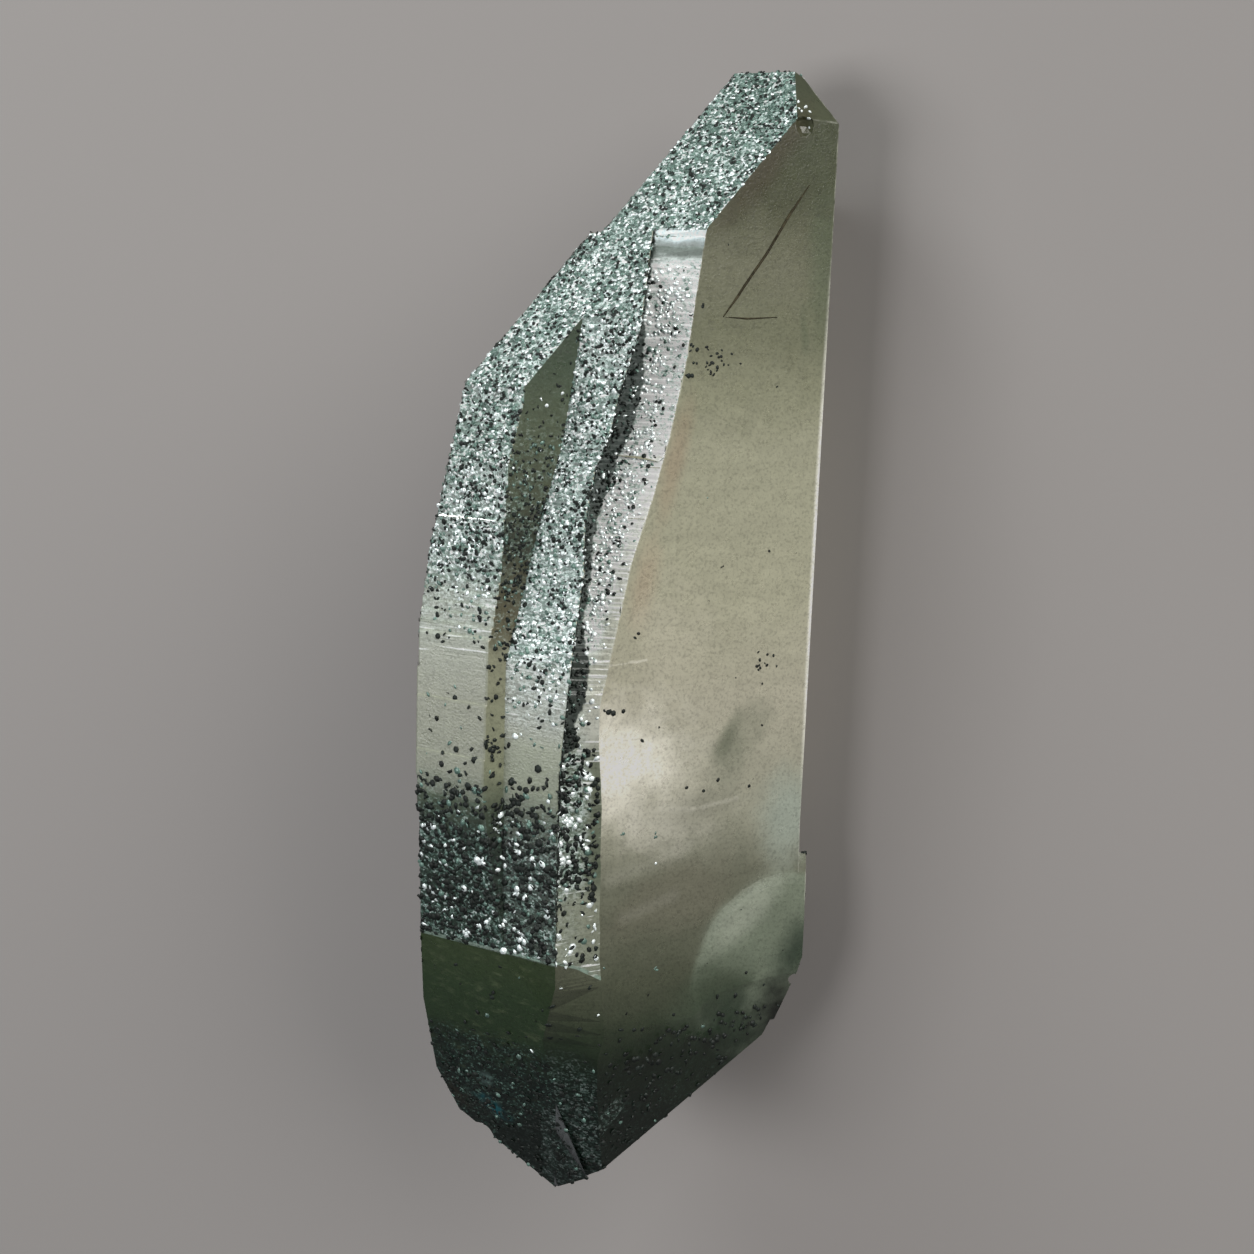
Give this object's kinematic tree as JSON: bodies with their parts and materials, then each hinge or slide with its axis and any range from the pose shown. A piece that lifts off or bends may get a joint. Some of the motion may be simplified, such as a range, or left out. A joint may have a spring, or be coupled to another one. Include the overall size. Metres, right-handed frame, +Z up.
{
  "type": "phantom quartz crystal",
  "caption": "Single hexagonal quartz crystal with a slanted rhombohedral termination, three stepped parallel columns and a rehealed base, dusted with dark green flakes.",
  "frame": {"origin": "centre of the crystal's box on the surface it lies on", "axes": "+Y along the crystal's long axis towards its tip, +Z up off the prism face it rests on"},
  "size_m": [0.0274, 0.0808, 0.0255],
  "materials": {
    "quartz": "translucent olive quartz, glassy smooth faces with fine growth ledges",
    "chlorite_dark": "near-black green mineral flakes",
    "chlorite_teal": "teal-green glossy mineral flakes",
    "chlorite_bright": "silvery glinting mineral flakes and ledges"
  },
  "bodies": {
    "root": {"quartz_crystal": "quartz"}
  },
  "joints": []
}
